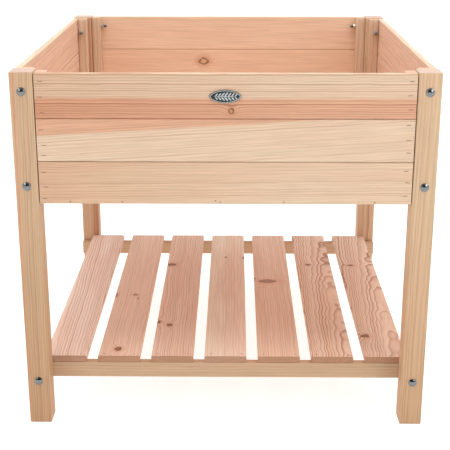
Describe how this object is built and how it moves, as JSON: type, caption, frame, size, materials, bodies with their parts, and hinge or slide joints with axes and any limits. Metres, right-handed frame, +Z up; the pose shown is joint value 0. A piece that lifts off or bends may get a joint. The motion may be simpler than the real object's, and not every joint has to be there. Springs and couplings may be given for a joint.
{
  "type": "raised planter on legs",
  "caption": "Square wooden planting box on tall corner posts, with boarded sides, a drained floor and a slatted shelf below.",
  "frame": {"origin": "on the ground at the middle of the planter's plan", "axes": "+Z up, -Y towards the front, which carries the badge, +X to the right as seen from the front"},
  "size_m": [0.7872, 0.7872, 0.71],
  "materials": {
    "post_timber": "planed untreated softwood, pale with straw and salmon streaks, eased edges",
    "board_timber": "planed untreated tongue-and-groove boards, pale sapwood and salmon heartwood bands",
    "batten_timber": "planed untreated softwood batten",
    "slat_timber": "planed untreated slats, pinkish heartwood with small knots",
    "rail_timber": "planed untreated rail with straight grain",
    "floor_timber": "sawn untreated softwood",
    "zinc_steel": "bright zinc-plated steel",
    "badge_metal": "dark stamped plate with a bright raised rim"
  },
  "bodies": {
    "root": {"leg_front_left": "post_timber", "leg_front_right": "post_timber", "leg_back_left": "post_timber", "leg_back_right": "post_timber", "front_board_bottom": "board_timber", "front_board_middle": "board_timber", "front_board_top": "board_timber", "back_board_bottom": "board_timber", "back_board_middle": "board_timber", "back_board_top": "board_timber", "left_board_bottom": "board_timber", "left_board_middle": "board_timber", "left_board_top": "board_timber", "right_board_bottom": "board_timber", "right_board_middle": "board_timber", "right_board_top": "board_timber", "front_batten_left": "batten_timber", "front_batten_right": "batten_timber", "back_batten_left": "batten_timber", "back_batten_right": "batten_timber", "left_batten_front": "batten_timber", "left_batten_back": "batten_timber", "right_batten_front": "batten_timber", "right_batten_back": "batten_timber", "floor_cleat_front": "floor_timber", "floor_cleat_back": "floor_timber", "floor_board_1": "floor_timber", "floor_board_2": "floor_timber", "floor_board_3": "floor_timber", "floor_board_4": "floor_timber", "shelf_rail_front": "rail_timber", "shelf_rail_back": "rail_timber", "shelf_slat_1": "slat_timber", "shelf_slat_2": "slat_timber", "shelf_slat_3": "slat_timber", "shelf_slat_4": "slat_timber", "shelf_slat_5": "slat_timber", "shelf_slat_6": "slat_timber", "shelf_slat_7": "slat_timber", "badge_plate": "badge_metal", "panel_bolt_front_left_upper": "zinc_steel", "panel_bolt_front_left_lower": "zinc_steel", "panel_bolt_front_right_upper": "zinc_steel", "panel_bolt_front_right_lower": "zinc_steel", "panel_bolt_back_left_upper": "zinc_steel", "panel_bolt_back_left_lower": "zinc_steel", "panel_bolt_back_right_upper": "zinc_steel", "panel_bolt_back_right_lower": "zinc_steel", "panel_bolt_left_front_upper": "zinc_steel", "panel_bolt_left_front_lower": "zinc_steel", "panel_bolt_left_back_upper": "zinc_steel", "panel_bolt_left_back_lower": "zinc_steel", "panel_bolt_right_front_upper": "zinc_steel", "panel_bolt_right_front_lower": "zinc_steel", "panel_bolt_right_back_upper": "zinc_steel", "panel_bolt_right_back_lower": "zinc_steel", "shelf_bolt_front_left": "zinc_steel", "shelf_bolt_front_right": "zinc_steel", "shelf_bolt_back_left": "zinc_steel", "shelf_bolt_back_right": "zinc_steel"}
  },
  "joints": []
}
